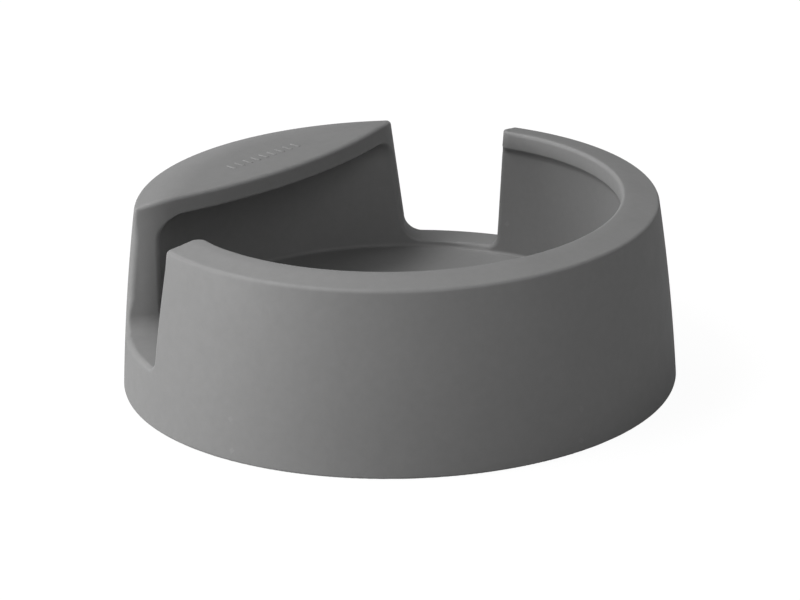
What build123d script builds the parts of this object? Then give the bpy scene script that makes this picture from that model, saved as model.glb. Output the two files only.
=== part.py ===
from build123d import *
import math
import os

# Lid and ladle stand: one solid piece of moulded soft rubber.
# A low, slightly flared drum holds a round bowl for the head of a ladle.
# An arc-shaped slot crosses the drum, and a pan lid stands on edge in it.
# Behind the slot a lens-shaped shelf closes the top over an open pocket.
# Millimetres. Origin at the centre of the underside, +Z up, the slot runs
# along X, the shelf is on +Y and the open bowl on -Y. The plane X = 0 is a
# plane of symmetry.

# ---- outside of the drum ----
base_radius = 75.0
base_edge_fillet = 0.7
outer_rim_radius = 70.4
outer_rim_height = 49.9
wall_bulge = 0.55

# ---- shelf top, sloping rim and the bowl ----
shelf_top_height = 51.8
slope_start_radius = 62.2
slope_blend_radius = 7.0
lip_radius = 60.3
lip_bottom_height = 46.6
lip_overhang = 1.0
bowl_wall_bottom_radius = 63.0
floor_height = 14.3
floor_fillet = 0.8

# ---- pocket under the shelf ----
shelf_underside_height = 46.9
pocket_radius = 64.5
pocket_ceiling_fillet = 6.8

# ---- slot ----
# The shelf-side wall bulges towards the bowl; the bowl-side wall follows it.
# Both lean, so the slot gets narrower towards its flat bottom. The shelf-side
# plan is given at the shelf's top, the bowl-side plan at the slot's bottom.
slot_bottom_height = 16.1
shelf_wall_draft = 6.8
shelf_wall_middle_y = 38.05
shelf_wall_radius = 144.5
shelf_wall_turn_x = 41.4
shelf_wall_end_radius = 17.0
shelf_wall_end_turn = 29.8
bowl_side_draft = 5.4
bowl_side_middle_y = 9.73
bowl_side_radius = 195.5
shelf_side_bottom_fillet = 4.6
bowl_side_bottom_fillet = 3.0

# ---- edge rounding ----
mouth_fillet = 1.6
ring_end_fillet = 1.6
lip_end_fillet = 1.0
pocket_opening_fillet = 0.6
shelf_edge_fillet = 1.1
crest_fillet = 0.6

# ---- plain raised marks on the shelf ----
mark_count = 9
mark_spacing = 3.1
mark_width = 1.1
mark_length = 3.6
mark_height = 0.25
mark_middle_y = 50.2
mark_sunk = 0.3

cut_top = 60.0
reach = 100.0


def arc_sag(radius, x):
    """How far an arc falls back from its middle at a distance x."""
    return radius - math.sqrt(radius * radius - x * x)


def plan_radius(edge, t):
    """Distance from the drum's axis to a point on an edge."""
    point = edge.position_at(t)
    return math.hypot(point.X, point.Y)


def smallest_radius(edge):
    """Smallest of five sampled distances from the axis."""
    return min(plan_radius(edge, t) for t in (0, 0.25, 0.5, 0.75, 1))


def largest_radius(edge):
    """Largest of five sampled distances from the axis."""
    return max(plan_radius(edge, t) for t in (0, 0.25, 0.5, 0.75, 1))


def low_z(edge):
    """Lowest height on an edge."""
    return edge.bounding_box().min.Z


def high_z(edge):
    """Greatest height on an edge."""
    return edge.bounding_box().max.Z


def low_y(edge):
    """Smallest Y on an edge."""
    return edge.bounding_box().min.Y


def high_y(edge):
    """Greatest Y on an edge."""
    return edge.bounding_box().max.Y


def outer_drum():
    """The full drum, before anything is cut out of it."""
    middle_radius = (base_radius + outer_rim_radius) / 2 + wall_bulge
    with BuildPart() as drum:
        with BuildSketch(Plane.XZ) as profile:
            with BuildLine():
                Line((0, 0), (base_radius, 0))
                ThreePointArc(
                    (base_radius, 0),
                    (middle_radius, outer_rim_height / 2),
                    (outer_rim_radius, outer_rim_height),
                )
                Line((outer_rim_radius, outer_rim_height), (slope_start_radius, shelf_top_height))
                Line((slope_start_radius, shelf_top_height), (0, shelf_top_height))
                Line((0, shelf_top_height), (0, 0))
            make_face()
            base_corner = profile.vertices().filter_by(lambda v: abs(v.X - base_radius) < 0.01)
            fillet(base_corner, base_edge_fillet)
            slope_corner = profile.vertices().filter_by(lambda v: abs(v.X - slope_start_radius) < 0.01)
            fillet(slope_corner, slope_blend_radius)
        revolve(axis=Axis.Z)
    return drum.part


def bowl_cutter():
    """The space of the bowl: floor, flared wall and open mouth."""
    wall_top_radius = lip_radius + lip_overhang
    with BuildPart() as bowl:
        with BuildSketch(Plane.XZ) as profile:
            with BuildLine():
                Line((0, floor_height), (bowl_wall_bottom_radius, floor_height))
                Line((bowl_wall_bottom_radius, floor_height), (wall_top_radius, lip_bottom_height))
                Line((wall_top_radius, lip_bottom_height), (wall_top_radius, cut_top))
                Line((wall_top_radius, cut_top), (0, cut_top))
                Line((0, cut_top), (0, floor_height))
            make_face()
            foot = profile.vertices().filter_by(
                lambda v: abs(v.X - bowl_wall_bottom_radius) < 0.01
            )
            fillet(foot, floor_fillet)
        revolve(axis=Axis.Z)
        with Locations((0, 22 + reach, 30 + reach)):
            Box(4 * reach, 2 * reach, 2 * reach, mode=Mode.SUBTRACT)
    return bowl.part


def shelf_wall_points(moved):
    """Plan points of the shelf-side slot wall for x >= 0, moved square to itself."""
    main_radius = shelf_wall_radius + moved
    end_radius = shelf_wall_end_radius + moved
    centre_y = shelf_wall_middle_y + shelf_wall_radius
    turn_angle = math.asin(shelf_wall_turn_x / shelf_wall_radius)
    turn = (main_radius * math.sin(turn_angle), centre_y - main_radius * math.cos(turn_angle))
    end_centre = (
        turn[0] - end_radius * math.sin(turn_angle),
        turn[1] + end_radius * math.cos(turn_angle),
    )
    end_angle = turn_angle + math.radians(shelf_wall_end_turn)
    end = (
        end_centre[0] + end_radius * math.sin(end_angle),
        end_centre[1] - end_radius * math.cos(end_angle),
    )
    middle_angle = (turn_angle + end_angle) / 2
    between = (
        end_centre[0] + end_radius * math.sin(middle_angle),
        end_centre[1] - end_radius * math.cos(middle_angle),
    )
    out = (end[0] + 60 * math.cos(end_angle), end[1] + 60 * math.sin(end_angle))
    return turn, between, end, out


def shelf_wall_line(moved):
    """The shelf-side slot wall in plan, moved towards the bowl."""
    turn, between, end, out = shelf_wall_points(moved)
    Line((-out[0], out[1]), (-end[0], end[1]))
    ThreePointArc((-end[0], end[1]), (-between[0], between[1]), (-turn[0], turn[1]))
    ThreePointArc((-turn[0], turn[1]), (0, shelf_wall_middle_y - moved), turn)
    ThreePointArc(turn, between, end)
    Line(end, out)
    return out


def shelf_wall_fall():
    """How far the shelf-side wall leans towards the bowl at the slot's bottom."""
    return (shelf_top_height - slot_bottom_height) * math.tan(math.radians(shelf_wall_draft))


def shelf_side_space():
    """Everything on the bowl's side of the leaning shelf-side wall."""
    fall = shelf_wall_fall()
    with BuildPart() as space:
        with BuildSketch(Plane.XY.offset(slot_bottom_height)) as plan:
            with BuildLine():
                out = shelf_wall_line(fall)
                Line(out, (out[0], -reach))
                Line((out[0], -reach), (-out[0], -reach))
                Line((-out[0], -reach), (-out[0], out[1]))
            make_face()
        extrude(plan.sketch, amount=cut_top - slot_bottom_height, taper=-shelf_wall_draft)
    return space.part


def bowl_side_space():
    """Everything on the shelf's side of the leaning bowl-side wall."""
    low = bowl_side_middle_y + arc_sag(bowl_side_radius, reach)
    with BuildPart() as space:
        with BuildSketch(Plane.XY.offset(slot_bottom_height)) as plan:
            with BuildLine():
                ThreePointArc((reach, low), (0, bowl_side_middle_y), (-reach, low))
                Line((-reach, low), (-reach, 2 * reach))
                Line((-reach, 2 * reach), (reach, 2 * reach))
                Line((reach, 2 * reach), (reach, low))
            make_face()
        extrude(plan.sketch, amount=cut_top - slot_bottom_height, taper=-bowl_side_draft)
    return space.part


def slot_cutter():
    """The leaning-sided slot, with rounded bottom corners."""
    with BuildPart() as slot:
        add(shelf_side_space())
        add(bowl_side_space(), mode=Mode.INTERSECT)
        with Locations((0, 0, cut_top / 2)):
            Box(1.9 * reach, 2 * reach, 2 * cut_top, mode=Mode.INTERSECT)
        bottom = slot.edges().filter_by(lambda e: abs(e.center().Z - slot_bottom_height) < 0.1)
        shelf_side = bottom.filter_by(lambda e: e.center().Y > 30 and abs(e.center().X) < 90)
        fillet(shelf_side, shelf_side_bottom_fillet)
        bottom = slot.edges().filter_by(lambda e: abs(e.center().Z - slot_bottom_height) < 0.1)
        bowl_side = bottom.filter_by(lambda e: e.center().Y < 20)
        fillet(bowl_side, bowl_side_bottom_fillet)
    return slot.part


def pocket_cutter():
    """The hollow under the shelf, open towards the slot."""
    with BuildPart() as pocket:
        with BuildSketch(Plane.XY.offset(slot_bottom_height)):
            Circle(pocket_radius)
        extrude(amount=shelf_underside_height - slot_bottom_height)
        ceiling = pocket.edges().filter_by(lambda e: abs(e.center().Z - shelf_underside_height) < 0.1)
        fillet(ceiling, pocket_ceiling_fillet)
        with BuildSketch(Plane.XY):
            with BuildLine():
                out = shelf_wall_line(shelf_wall_fall() + 1.5)
                Line(out, (out[0], reach))
                Line((out[0], reach), (-out[0], reach))
                Line((-out[0], reach), (-out[0], out[1]))
            make_face()
        extrude(amount=cut_top, mode=Mode.INTERSECT)
    return pocket.part


def lip_band(slot):
    """The thin band that stands in from the bowl wall under the rim."""
    with BuildPart() as band:
        with BuildSketch(Plane.XZ):
            with BuildLine():
                Polyline(
                    (lip_radius, lip_bottom_height),
                    (lip_radius, shelf_top_height),
                    (lip_radius + 1.0, shelf_top_height),
                    (lip_radius + 1.0, lip_bottom_height + 0.4),
                    (lip_radius, lip_bottom_height),
                )
            make_face()
        revolve(axis=Axis.Z)
        with Locations((0, 22 + reach, 30 + reach)):
            Box(4 * reach, 2 * reach, 2 * reach, mode=Mode.SUBTRACT)
        add(slot, mode=Mode.SUBTRACT)
    return band.part


def round_mouths(body):
    """Round the U-shaped edges where the slot breaks through the drum."""
    edges = body.edges().filter_by(
        lambda e: smallest_radius(e) > 69.9 and low_z(e) > 15 and high_y(e) > 15
        and not (low_z(e) > 49 and high_z(e) - low_z(e) < 1)
    )
    return body.fillet(mouth_fillet, edges)


def round_ring_ends(body):
    """Round the upright inner edges of the open ring's two ends."""
    edges = body.edges().filter_by(
        lambda e: smallest_radius(e) > 57 and largest_radius(e) < 64
        and low_y(e) > 12 and high_y(e) < 20.5 and high_z(e) - low_z(e) > 20
    )
    return body.fillet(ring_end_fillet, edges)


def round_lip_ends(band):
    """Round the upright ends of the lip to match the wall below it."""
    edges = band.edges().filter_by(
        lambda e: largest_radius(e) < lip_radius + 0.1 and high_z(e) - low_z(e) > 3
    )
    return band.fillet(lip_end_fillet, edges)


def round_pocket_opening(body):
    """Round the edge where the pocket opens into the slot."""
    edges = body.edges().filter_by(
        lambda e: (34 < e.center().Y < 49 and 30 < high_z(e) < 47.2 and high_z(e) - low_z(e) > 5)
        or (34 < e.center().Y < 39 and abs(e.center().Z - shelf_underside_height) < 0.1)
    )
    return body.fillet(pocket_opening_fillet, edges)


def round_shelf_front(body):
    """Round the shelf's front edge from one side of the drum to the other."""
    edges = body.edges().filter_by(
        lambda e: low_z(e) > 49.95 and e.center().Y > 36 and smallest_radius(e) < 70
        and not (smallest_radius(e) > 58 and largest_radius(e) - smallest_radius(e) < 0.05)
    )
    return body.fillet(shelf_edge_fillet, edges)


def round_crest(body):
    """Round the crest where the rim's top meets the lip."""
    edges = body.edges().filter_by(
        lambda e: largest_radius(e) < lip_radius + 0.1 and smallest_radius(e) > lip_radius - 0.1
        and low_z(e) > shelf_top_height - 0.1
    )
    return body.fillet(crest_fillet, edges)


def shelf_marks():
    """A row of plain bars that stand slightly proud of the shelf's top."""
    with BuildPart() as marks:
        with BuildSketch(Plane.XY.offset(shelf_top_height - mark_sunk)):
            with Locations((0, mark_middle_y)):
                with GridLocations(mark_spacing, 1, mark_count, 1):
                    SlotOverall(mark_length, mark_width, rotation=90)
        extrude(amount=mark_sunk + mark_height)
    return marks.part


def stand_body():
    """The whole stand in one piece."""
    slot = slot_cutter()
    body = outer_drum() - bowl_cutter()
    body = body - slot
    body = round_mouths(body)
    body = round_ring_ends(body)
    body = body - pocket_cutter()
    body = body + round_lip_ends(lip_band(slot))
    body = round_pocket_opening(body)
    body = round_shelf_front(body)
    body = round_crest(body)
    return body + shelf_marks()


os.makedirs("parts", exist_ok=True)
stand = stand_body()
export_step(stand, "parts/stand_body.step")
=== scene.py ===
import math

import bpy
import numpy as np
from mathutils import Matrix, Vector


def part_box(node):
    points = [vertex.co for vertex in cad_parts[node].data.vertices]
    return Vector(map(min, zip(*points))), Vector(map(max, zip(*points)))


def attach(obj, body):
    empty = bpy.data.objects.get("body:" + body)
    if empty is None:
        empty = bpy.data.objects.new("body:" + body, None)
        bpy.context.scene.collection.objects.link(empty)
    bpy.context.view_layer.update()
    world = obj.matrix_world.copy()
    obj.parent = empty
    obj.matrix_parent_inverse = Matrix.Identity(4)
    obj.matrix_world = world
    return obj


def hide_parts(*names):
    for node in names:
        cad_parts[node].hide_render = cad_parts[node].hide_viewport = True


# Lid and ladle stand: one piece of moulded matte grey silicone rubber.
# The visible body is meshed from a distance function, so every edge is a
# continuous moulded round. Lengths in the shape functions are millimetres,
# with y towards the shelf and z up.

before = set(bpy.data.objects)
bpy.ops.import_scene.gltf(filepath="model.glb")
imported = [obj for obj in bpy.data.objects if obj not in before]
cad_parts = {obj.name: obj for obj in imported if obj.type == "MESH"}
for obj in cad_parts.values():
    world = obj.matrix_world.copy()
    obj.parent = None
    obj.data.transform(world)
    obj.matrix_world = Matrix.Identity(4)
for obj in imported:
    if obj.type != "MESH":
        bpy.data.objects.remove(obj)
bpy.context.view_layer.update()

MM = 0.001

# ---------------------------------------------------------------- shape
# The drum's radius and height come from the CAD body's box. Its base is the
# widest place, and the marks on the shelf are its highest.
CAD_MARK_HEIGHT = 0.25
box_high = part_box("stand_body")[1]
BASE_RADIUS = round(box_high.y / MM)
TOP_HEIGHT = box_high.z / MM - CAD_MARK_HEIGHT

# Drum: leaning, slightly bulging wall under a rim that slopes down outwards.
RIM_RADIUS = 70.4
RIM_HEIGHT = 49.9
WALL_BULGE = 0.55
BASE_EDGE = 0.7
RIM_EDGE = 0.75
SLOPE_START = 62.2
SLOPE_BLEND = 0.5
SHELF_CROWN = 1.1

# Bowl, with a lip that overhangs its wall.
LIP_RADIUS = 60.3
LIP_BOTTOM = 46.5
LIP_STEP_OUT = 1.25
LIP_UNDER_SLOPE = 0.35
LIP_COVE = 1.7
LIP_UNDER_EDGE = 0.3
BOWL_FOOT_RADIUS = 63.0
BOWL_END_Y = 24.0
FLOOR_HEIGHT = 14.3
FLOOR_FILLET = 1.0

# Pocket under the shelf.
CEILING_HEIGHT = 46.9
POCKET_RADIUS = 64.0
POCKET_CEILING_FILLET = 6.8

# Slot. In plan its shelf-side wall is a shallow arc that turns away at both
# ends in tighter arcs, and its bowl-side wall is one shallow arc.
SLOT_BOTTOM = 16.1
SHELF_WALL_DRAFT = math.radians(6.8)
SHELF_WALL_Y = 38.05
SHELF_WALL_RADIUS = 144.5
SHELF_WALL_TURN_X = 41.4
SHELF_WALL_END_RADIUS = 17.0
SHELF_WALL_END_TURN = math.radians(29.8)
BOWL_SIDE_DRAFT = math.radians(5.4)
BOWL_SIDE_Y = 9.73
BOWL_SIDE_RADIUS = 195.5
SHELF_FOOT_FILLET = 4.6
BOWL_SIDE_FOOT_FILLET = 3.0

# Rounds on the edges between the hollows and the outside. The top edge is the
# ring's crest and the front edge of the shelf.
TOP_EDGE = 1.1
POST_EDGE = 2.2
RING_END_OUTER_EDGE = 1.2
RING_END_TOP_EDGE = 0.6
MOUTH_SILL_EDGE = 1.4

# Rounds on the edges where the slot meets the bowl and the pocket.
RING_END_INNER_EDGE = 1.6
LIP_END_EDGE = 2.8
SILL_STEP_EDGE = 1.5
SILL_STEP_EDGE_BACK = 0.7
POCKET_OPENING_EDGE = 1.2
SHELF_UNDER_EDGE = 0.4

# Stretches over which one form or round fades into the next, as (from, to).
SHELF_TOP_Y = (16.0, 34.0)
POCKET_WALL_Y = (18.0, 42.0)
POCKET_SIDE_Y = (24.0, 34.0)
SHELF_SIDE_Y = (26.0, 34.0)
RING_SIDE_Y = (8.0, 14.0)
OUTSIDE_RADIUS = (61.5, 67.5)
ABOVE_STEP_Z = (17.0, 24.0)
ABOVE_SILL_Z = (17.0, 26.0)
LIP_END_Z = (44.0, 48.0)
SHELF_UNDER_Z = (42.0, 46.0)
POST_TOP_Z = (40.0, 49.0)
RING_END_TOP_Z = (44.0, 49.0)

MARK_COUNT = 9
MARK_SPACING = 3.1
MARK_WIDTH = 1.1
MARK_LENGTH = 3.6
MARK_HEIGHT = 0.17
MARK_Y = 50.2
MARK_ARC_STEPS = 12
# Cross-section of a mark from its sunk foot to its top: height, inset.
MARK_RINGS = (
    (-0.2, 0.0),
    (0.4 * MARK_HEIGHT, 0.0),
    (0.8 * MARK_HEIGHT, 0.05),
    (MARK_HEIGHT, 0.17),
)

CELL = 0.5
GRID_MARGIN = 1.2
GRID_FLOOR = -1.1
GRID_HEIGHT = 54.2


def fade(span, x):
    """Smooth 0 to 1 ramp over a stretch."""
    t = np.clip((x - span[0]) / (span[1] - span[0]), 0.0, 1.0)
    return t * t * (3.0 - 2.0 * t)


def mix(a, b, t):
    """Value a turning into b as t goes from 0 to 1."""
    return a + (b - a) * t


def both(a, b, r):
    """Inside both shapes, with the edge between them rounded by r."""
    u = np.maximum(r + a, 0.0)
    v = np.maximum(r + b, 0.0)
    return np.minimum(-r, np.maximum(a, b)) + np.hypot(u, v)


def either(a, b, r):
    """Inside one shape or the other, with the corner between them rounded by r."""
    return -both(-a, -b, r)


def outer_form(rad, y, z):
    """The drum without its hollows: leaning wall, sloping rim, crowned shelf top."""
    lean = math.atan2(BASE_RADIUS - RIM_RADIUS, RIM_HEIGHT)
    chord = math.hypot(BASE_RADIUS - RIM_RADIUS, RIM_HEIGHT)
    sag = WALL_BULGE * math.cos(lean)
    curve = (chord * chord / 4 + sag * sag) / (2 * sag)
    cx = (BASE_RADIUS + RIM_RADIUS) / 2 - (curve - sag) * math.cos(lean)
    cz = RIM_HEIGHT / 2 - (curve - sag) * math.sin(lean)
    wall = np.hypot(rad - cx, z - cz) - curve
    slope = math.atan2(TOP_HEIGHT - RIM_HEIGHT, RIM_RADIUS - SLOPE_START)
    rim = (z - RIM_HEIGHT) * math.cos(slope) + (rad - RIM_RADIUS) * math.sin(slope)
    flat = z - TOP_HEIGHT
    ring_top = both(flat, rim, SLOPE_BLEND)
    near = np.maximum(SHELF_CROWN - np.abs(flat - rim), 0.0)
    shelf_top = np.maximum(flat, rim) + near * near / (4 * SHELF_CROWN)
    top = mix(ring_top, shelf_top, fade(SHELF_TOP_Y, y))
    return both(both(wall, top, RIM_EDGE), -z, BASE_EDGE)


def shelf_wall(x, y, z):
    """Positive inside the shelf-side wall of the slot, which leans back."""
    ax = np.abs(x)
    c1 = (0.0, SHELF_WALL_Y + SHELF_WALL_RADIUS)
    turn1 = math.asin(SHELF_WALL_TURN_X / SHELF_WALL_RADIUS)
    turn2 = turn1 + SHELF_WALL_END_TURN
    gap = SHELF_WALL_RADIUS - SHELF_WALL_END_RADIUS
    c2 = (gap * math.sin(turn1), c1[1] - gap * math.cos(turn1))
    end = (
        c2[0] + SHELF_WALL_END_RADIUS * math.sin(turn2),
        c2[1] - SHELF_WALL_END_RADIUS * math.cos(turn2),
    )
    main = SHELF_WALL_RADIUS - np.hypot(ax - c1[0], y - c1[1])
    corner = SHELF_WALL_END_RADIUS - np.hypot(ax - c2[0], y - c2[1])
    tail = (y - end[1]) * math.cos(turn2) - (ax - end[0]) * math.sin(turn2)
    angle1 = np.arctan2(ax - c1[0], c1[1] - y)
    angle2 = np.arctan2(ax - c2[0], c2[1] - y)
    plan = np.where(angle1 < turn1, main, np.where(angle2 < turn2, corner, tail))
    return plan * math.cos(SHELF_WALL_DRAFT) + (TOP_HEIGHT - z) * math.sin(SHELF_WALL_DRAFT)


def bowl_side_wall(x, y, z):
    """Positive inside the bowl-side wall of the slot, which leans forward."""
    plan = np.hypot(x, y - BOWL_SIDE_Y - BOWL_SIDE_RADIUS) - BOWL_SIDE_RADIUS
    return plan * math.cos(BOWL_SIDE_DRAFT) - (z - SLOT_BOTTOM) * math.sin(BOWL_SIDE_DRAFT)


def hollow(x, y, z, rad):
    """Bowl, slot and pocket together. Negative in the open space."""
    slot = both(shelf_wall(x, y, z), SLOT_BOTTOM - z, SHELF_FOOT_FILLET)
    slot = both(slot, bowl_side_wall(x, y, z), BOWL_SIDE_FOOT_FILLET)

    flare = (BOWL_FOOT_RADIUS - LIP_RADIUS - LIP_STEP_OUT) / (LIP_BOTTOM - FLOOR_HEIGHT)
    ring_wall = BOWL_FOOT_RADIUS - flare * (z - FLOOR_HEIGHT)
    wall = rad - mix(ring_wall, POCKET_RADIUS, fade(POCKET_WALL_Y, y))
    under_lip = z - LIP_BOTTOM - LIP_UNDER_SLOPE * (LIP_RADIUS + LIP_STEP_OUT - rad)
    bowl = either(both(wall, under_lip, LIP_COVE), rad - LIP_RADIUS, LIP_UNDER_EDGE)
    bowl = both(bowl, FLOOR_HEIGHT - z, FLOOR_FILLET)
    bowl = np.maximum(bowl, y - BOWL_END_Y)

    pocket = both(wall, FLOOR_HEIGHT - z, FLOOR_FILLET)
    pocket = both(pocket, z - CEILING_HEIGHT, POCKET_CEILING_FILLET)
    cup = np.minimum(bowl, pocket)

    pocket_side = fade(POCKET_SIDE_Y, y)
    ring_end = mix(RING_END_INNER_EDGE, LIP_END_EDGE, fade(LIP_END_Z, z))
    edge = mix(ring_end, POCKET_OPENING_EDGE, pocket_side)
    edge = mix(edge, SHELF_UNDER_EDGE, pocket_side * fade(SHELF_UNDER_Z, z))
    sill = mix(SILL_STEP_EDGE, SILL_STEP_EDGE_BACK, pocket_side)
    return either(cup, slot, mix(sill, edge, fade(ABOVE_STEP_Z, z)))


def stand_distance(p):
    """Signed distance, negative inside the stand, at points p (n, 3) in mm."""
    x, y, z = p[..., 0], p[..., 1], p[..., 2]
    rad = np.hypot(x, y)
    shelf_side = fade(SHELF_SIDE_Y, y)
    ring_side = fade(RING_SIDE_Y, y) * (1.0 - shelf_side)
    high = fade(ABOVE_SILL_Z, z)
    post = shelf_side * fade(OUTSIDE_RADIUS, rad) * high * (1.0 - fade(POST_TOP_Z, z))
    ring_end = mix(RING_END_OUTER_EDGE, RING_END_TOP_EDGE, fade(RING_END_TOP_Z, z))
    edge = mix(TOP_EDGE, POST_EDGE, post)
    edge = mix(edge, ring_end, ring_side * high)
    edge = mix(edge, MOUTH_SILL_EDGE, 1.0 - high)
    return both(outer_form(rad, y, z), -hollow(x, y, z, rad), edge)


# ----------------------------------------------------------------- mesh
def gradient(p, h=0.01):
    """Central differences of the distance function."""
    g = np.empty_like(p)
    for i in range(3):
        d = np.zeros(3)
        d[i] = h
        g[:, i] = (stand_distance(p + d) - stand_distance(p - d)) / (2 * h)
    return g


def sample_grid(low, counts):
    """Distance at every grid corner, one level at a time."""
    axes = [low[i] + CELL * np.arange(counts[i]) for i in range(3)]
    x, y = np.meshgrid(axes[0], axes[1], indexing="ij")
    grid = np.empty(counts)
    for k in range(counts[2]):
        grid[:, :, k] = stand_distance(np.stack([x, y, np.full_like(x, axes[2][k])], -1))
    return grid


def cell_points(grid, low):
    """One point in each cell that the surface crosses, and the cells' numbers."""
    counts = grid.shape
    total = np.zeros([c - 1 for c in counts] + [3])
    hits = np.zeros([c - 1 for c in counts], int)
    for axis in range(3):
        a = np.take(grid, range(counts[axis] - 1), axis)
        b = np.take(grid, range(1, counts[axis]), axis)
        cross = (a < 0) != (b < 0)
        t = np.where(cross, a / np.where(cross, a - b, 1.0), 0.0)
        others = [i for i in range(3) if i != axis]
        for s in (0, 1):
            for u in (0, 1):
                cut = [slice(None)] * 3
                cut[others[0]] = slice(s, s + counts[others[0]] - 1)
                cut[others[1]] = slice(u, u + counts[others[1]] - 1)
                c = cross[tuple(cut)]
                hits += c
                total[..., axis] += np.where(c, t[tuple(cut)], 0.0)
                total[..., others[0]] += c * s
                total[..., others[1]] += c * u
    used = hits > 0
    index = np.full(used.shape, -1)
    index[used] = np.arange(used.sum())
    points = np.array(low) + CELL * (np.argwhere(used) + total[used] / hits[used][:, None])
    return points, index


def face_quads(inside, index):
    """A quad around each grid edge that goes through the surface, facing outwards."""
    counts = inside.shape
    quads = []
    for axis in range(3):
        o1, o2 = (axis + 1) % 3, (axis + 2) % 3
        a = np.take(inside, range(counts[axis] - 1), axis)
        b = np.take(inside, range(1, counts[axis]), axis)
        where = np.argwhere(a != b)
        keep = (where[:, o1] > 0) & (where[:, o2] > 0)
        keep &= (where[:, o1] < counts[o1] - 1) & (where[:, o2] < counts[o2] - 1)
        where = where[keep]
        start_in = a[tuple(where.T)]
        ring = []
        for s, u in ((1, 1), (0, 1), (0, 0), (1, 0)):
            c = where.copy()
            c[:, o1] -= s
            c[:, o2] -= u
            ring.append(index[tuple(c.T)])
        ring = np.stack(ring, 1)
        ring[~start_in] = ring[~start_in][:, ::-1]
        quads.append(ring)
    return np.concatenate(quads)


def settle(points, rounds=4, longest=0.4, least=0.05):
    """Moves the points onto the surface, each by at most the longest step per round.

    The least squared gradient keeps the step finite where the distance is flat.
    """
    for _ in range(rounds):
        g = gradient(points)
        size = np.maximum((g * g).sum(1), least)
        move = g * (stand_distance(points) / size)[:, None]
        length = np.maximum(np.linalg.norm(move, axis=1), 1e-9)
        points = points - move * np.minimum(1.0, longest / length)[:, None]
    return points


def add_object(name, mesh):
    obj = bpy.data.objects.new(name, mesh)
    bpy.context.scene.collection.objects.link(obj)
    return obj


def make_stand():
    """Mesh object of the stand's visible body."""
    reach = BASE_RADIUS + GRID_MARGIN
    low = np.array([-reach, -reach, GRID_FLOOR])
    counts = [math.ceil(2 * reach / CELL) + 1] * 2 + [math.ceil(GRID_HEIGHT / CELL) + 1]
    grid = sample_grid(low, counts)
    points, index = cell_points(grid, low)
    quads = face_quads(grid < 0, index)
    points = settle(points)
    g = gradient(points)
    normals = g / np.linalg.norm(g, axis=1)[:, None]
    mesh = bpy.data.meshes.new("silicone_body")
    mesh.vertices.add(len(points))
    mesh.vertices.foreach_set("co", (points * MM).astype(np.float32).ravel())
    mesh.loops.add(quads.size)
    mesh.loops.foreach_set("vertex_index", quads.astype(np.int32).ravel())
    mesh.polygons.add(len(quads))
    mesh.polygons.foreach_set("loop_start", np.arange(0, quads.size, 4, dtype=np.int32))
    mesh.polygons.foreach_set("use_smooth", np.ones(len(quads), bool))
    mesh.update()
    mesh.validate()
    mesh.normals_split_custom_set_from_vertices(normals.astype(np.float32))
    return add_object("silicone_body", mesh)


def mark_ring(cx, r, z):
    """Outline of a mark at one height: two half circles joined by straight sides."""
    ring = []
    for end, start in ((1, 0.0), (-1, math.pi)):
        cy = MARK_Y + end * (MARK_LENGTH - MARK_WIDTH) / 2
        for i in range(MARK_ARC_STEPS + 1):
            a = math.pi * i / MARK_ARC_STEPS + start
            ring.append((cx + r * math.cos(a), cy + r * math.sin(a), z))
    return ring


def make_marks():
    """A row of plain low bars on the shelf."""
    points = []
    faces = []
    n = 2 * (MARK_ARC_STEPS + 1)
    for k in range(MARK_COUNT):
        cx = (k - (MARK_COUNT - 1) / 2) * MARK_SPACING
        first = len(points)
        for height, inset in MARK_RINGS:
            points += mark_ring(cx, MARK_WIDTH / 2 - inset, TOP_HEIGHT + height)
        for level in range(len(MARK_RINGS) - 1):
            for i in range(n):
                a = first + level * n + i
                b = first + level * n + (i + 1) % n
                faces.append((a, b, b + n, a + n))
        faces.append(tuple(first + i for i in reversed(range(n))))
        faces.append(tuple(first + (len(MARK_RINGS) - 1) * n + i for i in range(n)))
    mesh = bpy.data.meshes.new("shelf_marks")
    mesh.from_pydata([tuple(v * MM for v in p) for p in points], [], faces)
    mesh.polygons.foreach_set("use_smooth", [len(f) == 4 for f in faces])
    return add_object("shelf_marks", mesh)


# ------------------------------------------------------------- material
BASE_GREY = 0.172
# Edge lift: partly rubbed wear, partly a painted highlight on the rounded edges.
WEAR_AND_HIGHLIGHT_LIFT = 0.11
# Painted shade that darkens tight concave corners.
PAINTED_CORNER_SHADE = 0.07
DUST_LIFT = 0.14


class Graph:
    """Short calls for building a node tree."""

    def __init__(self, name):
        self.mat = bpy.data.materials.new(name)
        self.mat.use_nodes = True
        self.nodes = self.mat.node_tree.nodes
        self.links = self.mat.node_tree.links
        self.shader = self.nodes["Principled BSDF"]
        self.place = self.nodes.new("ShaderNodeTexCoord").outputs["Object"]

    def put(self, value, socket):
        if hasattr(value, "is_output"):
            self.links.new(value, socket)
        else:
            socket.default_value = value

    def math(self, kind, a, b):
        node = self.nodes.new("ShaderNodeMath")
        node.operation = kind
        self.put(a, node.inputs[0])
        self.put(b, node.inputs[1])
        return node.outputs[0]

    def noise(self, scale, detail, rough):
        node = self.nodes.new("ShaderNodeTexNoise")
        self.put(self.place, node.inputs["Vector"])
        node.inputs["Scale"].default_value = scale
        node.inputs["Detail"].default_value = detail
        node.inputs["Roughness"].default_value = rough
        return node.outputs["Fac"]

    def span(self, value, lo, hi, to_lo, to_hi):
        node = self.nodes.new("ShaderNodeMapRange")
        self.put(value, node.inputs["Value"])
        for name, number in (("From Min", lo), ("From Max", hi), ("To Min", to_lo), ("To Max", to_hi)):
            node.inputs[name].default_value = number
        return node.outputs["Result"]

    def bump(self, height, strength, distance, base=None):
        node = self.nodes.new("ShaderNodeBump")
        node.inputs["Strength"].default_value = strength
        node.inputs["Distance"].default_value = distance
        self.put(height, node.inputs["Height"])
        if base is not None:
            self.put(base, node.inputs["Normal"])
        return node.outputs["Normal"]


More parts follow.
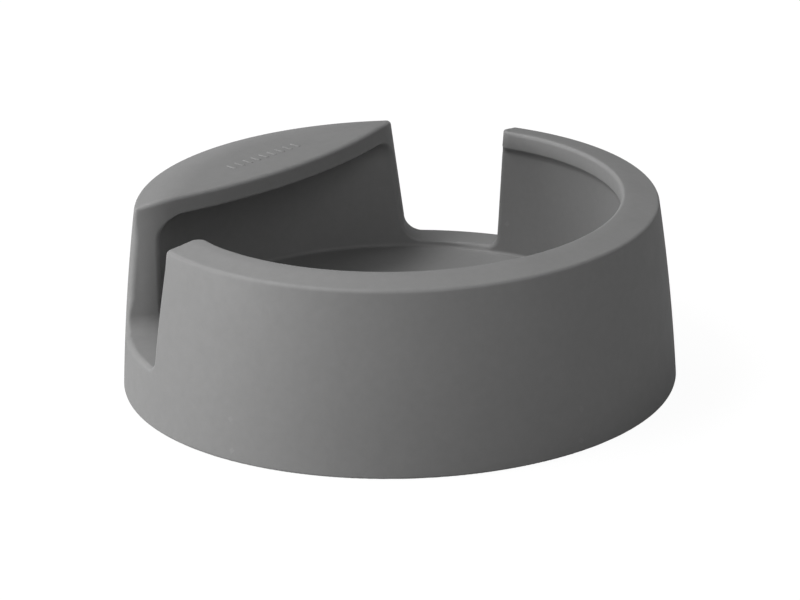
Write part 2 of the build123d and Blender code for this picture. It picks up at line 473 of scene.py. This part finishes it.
def silicone():
    """Matte grey silicone: fine moulded grain, soft sheen, faint dust, edges paler from rubbed wear
    and a painted highlight, and painted shade in tight corners.
    """
    g = Graph("silicone_grey")
    point = g.nodes.new("ShaderNodeNewGeometry").outputs["Pointiness"]

    # Tone: broad clouds and a fine mottle, in proportion to the base grey.
    cloud = g.span(g.noise(22.0, 3.0, 0.55), 0.3, 0.7, 0.965, 1.035)
    mottle = g.span(g.noise(420.0, 3.0, 0.6), 0.3, 0.7, 0.975, 1.025)
    tone = g.math("MULTIPLY", g.math("MULTIPLY", cloud, mottle), BASE_GREY)

    # Edges paler in patches: partly real rubbed wear, partly a painted highlight on the rounds. Tight
    # corners a little darker: painted shade.
    wear_and_highlight_patches = g.span(g.noise(160.0, 4.0, 0.6), 0.35, 0.6, 0.35, 1.0)
    wear_and_highlight = g.math("MULTIPLY", g.span(point, 0.505, 0.56, 0.0, WEAR_AND_HIGHLIGHT_LIFT), wear_and_highlight_patches)
    corner = g.span(point, 0.44, 0.495, PAINTED_CORNER_SHADE, 0.0)

    # Dust: sparse fine specks, only in some places.
    speck = g.span(g.noise(1500.0, 1.0, 0.4), 0.74, 0.86, 0.0, DUST_LIFT)
    dust = g.math("MULTIPLY", speck, g.span(g.noise(45.0, 2.0, 0.5), 0.45, 0.7, 0.0, 1.0))

    # Dust and rubbed wear lift the grey, the painted edge highlight lifts it too, and the painted
    # corner shade lowers it.
    lift = g.math("SUBTRACT", g.math("ADD", wear_and_highlight, dust), corner)
    tone = g.math("MULTIPLY", tone, g.math("ADD", lift, 1.0))
    colour = g.nodes.new("ShaderNodeCombineColor")
    g.put(tone, colour.inputs["Red"])
    g.put(tone, colour.inputs["Green"])
    g.put(g.math("MULTIPLY", tone, 0.995), colour.inputs["Blue"])
    g.put(colour.outputs["Color"], g.shader.inputs["Base Color"])

    rough = g.span(g.noise(90.0, 4.0, 0.6), 0.3, 0.7, 0.56, 0.66)
    g.put(g.math("SUBTRACT", rough, g.math("MULTIPLY", wear_and_highlight, 0.6)), g.shader.inputs["Roughness"])
    g.shader.inputs["IOR"].default_value = 1.41
    g.shader.inputs["Specular IOR Level"].default_value = 0.42
    g.shader.inputs["Sheen Weight"].default_value = 0.10
    g.shader.inputs["Sheen Roughness"].default_value = 0.45
    g.shader.inputs["Sheen Tint"].default_value = (0.9, 0.9, 0.92, 1.0)

    # Relief: slow moulding waves under a fine grain.
    waves = g.bump(g.noise(130.0, 2.0, 0.5), 0.25, 0.4 * MM)
    grain = g.bump(g.noise(2600.0, 3.0, 0.65), 0.22, 0.12 * MM, waves)
    g.put(grain, g.shader.inputs["Normal"])
    return g.mat


# --------------------------------------------------------------- camera
CAMERA_AT = Vector((-0.82308, -0.78572, 0.4407))
CAMERA_AIM = Vector((0.00028, -0.00029, 0.0215))
CAMERA_LENS = 201.74
CAMERA_SENSOR = 36.0
CAMERA_ROLL = math.radians(1.12)
CAMERA_TURN = 46.35


def make_camera():
    data = bpy.data.cameras.new("camera")
    data.lens = CAMERA_LENS
    data.sensor_width = CAMERA_SENSOR
    obj = add_object("camera", data)
    look = (CAMERA_AIM - CAMERA_AT).to_track_quat("-Z", "Y").to_matrix().to_4x4()
    obj.matrix_world = Matrix.Translation(CAMERA_AT) @ look @ Matrix.Rotation(-CAMERA_ROLL, 4, "Z")
    bpy.context.scene.camera = obj


# --------------------------------------------------------------- lights
# Directions are given from the camera's side: turn is how far to the right of
# the camera the light stands, in degrees, and lift its height.
BOX_AIM = Vector((0.0, 0.0, 0.02))
BOX_DISTANCE = 1.3
BOX_WIDTH = 0.7
BOX_HEIGHT = 0.6
STRIP_HEIGHT = 0.13
STRIP_LIFT = 3.2
# name, turn, lift, power, height
SOFT_BOXES = [
    ("left_high", -75, 58, 13.8, BOX_HEIGHT),
    ("left_strip", -80, STRIP_LIFT, 12.2, STRIP_HEIGHT),
    ("front_left_strip", -50, STRIP_LIFT, 1.9, STRIP_HEIGHT),
    ("behind_left_strip", -105, STRIP_LIFT, 1.2, STRIP_HEIGHT),
    ("back_left_high", -140, 58, 5.0, BOX_HEIGHT),
    ("front", 10, 32, 4.3, BOX_HEIGHT),
    ("right_low", 45, 10, 1.6, BOX_HEIGHT),
    ("back_right", 130, 32, 1.8, BOX_HEIGHT),
    ("overhead", 0, 88, 1.3, BOX_HEIGHT),
]


def soft_box(name, turn, lift, power, height):
    """A rectangular studio light that faces the stand."""
    a = math.radians(turn - CAMERA_TURN)
    e = math.radians(lift)
    away = Vector((math.sin(a) * math.cos(e), -math.cos(a) * math.cos(e), math.sin(e)))
    light = bpy.data.lights.new(name, "AREA")
    light.shape = "RECTANGLE"
    light.size = BOX_WIDTH
    light.size_y = height
    light.energy = power
    obj = add_object(name, light)
    obj.location = BOX_AIM + away * BOX_DISTANCE
    obj.rotation_euler = (-away).to_track_quat("-Z", "Y").to_euler()
    obj.visible_camera = False


def make_world():
    """White backdrop that only the camera sees. It gives no light."""
    world = bpy.data.worlds.new("studio")
    bpy.context.scene.world = world
    world.use_nodes = True
    tree = world.node_tree
    ground = tree.nodes["Background"]
    ground.inputs["Color"].default_value = (1, 1, 1, 1)
    ray = tree.nodes.new("ShaderNodeLightPath")
    tree.links.new(ray.outputs["Is Camera Ray"], ground.inputs["Strength"])


# ---------------------------------------------------------------- floor
FLOOR_SIZE = 6.0
# The floor lies just under the stand's base, so that the two never coincide.
FLOOR_DROP = 0.1 * MM
FLOOR_GLOW = 0.95
FLOOR_SHADE = 0.07
FLOOR_BOUNCE = 0.35


def diffuse(nodes, grey):
    node = nodes.new("ShaderNodeBsdfDiffuse")
    node.inputs["Color"].default_value = (grey, grey, grey, 1)
    return node


def make_floor():
    """Plain pale floor: nearly white to the camera, with a faint soft shadow."""
    s = FLOOR_SIZE
    z = -FLOOR_DROP
    mesh = bpy.data.meshes.new("floor")
    mesh.from_pydata([(-s, -s, z), (s, -s, z), (s, s, z), (-s, s, z)], [], [(0, 1, 2, 3)])
    mat = bpy.data.materials.new("floor_pale")
    mat.use_nodes = True
    nodes, links = mat.node_tree.nodes, mat.node_tree.links
    nodes.clear()
    ray = nodes.new("ShaderNodeLightPath")
    shade = diffuse(nodes, FLOOR_SHADE)
    glow = nodes.new("ShaderNodeEmission")
    glow.inputs["Strength"].default_value = FLOOR_GLOW
    seen = nodes.new("ShaderNodeAddShader")
    bounce = diffuse(nodes, FLOOR_BOUNCE)
    mix = nodes.new("ShaderNodeMixShader")
    out = nodes.new("ShaderNodeOutputMaterial")
    links.new(shade.outputs[0], seen.inputs[0])
    links.new(glow.outputs[0], seen.inputs[1])
    links.new(ray.outputs["Is Camera Ray"], mix.inputs[0])
    links.new(bounce.outputs[0], mix.inputs[1])
    links.new(seen.outputs[0], mix.inputs[2])
    links.new(mix.outputs[0], out.inputs["Surface"])
    mesh.materials.append(mat)
    add_object("floor", mesh)


body = make_stand()
marks = make_marks()
grey = silicone()
for piece in (body, marks):
    piece.data.materials.append(grey)
    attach(piece, "root")
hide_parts("stand_body")
make_floor()
make_camera()
for row in SOFT_BOXES:
    soft_box(*row)
make_world()
bpy.context.scene.view_settings.view_transform = "Standard"
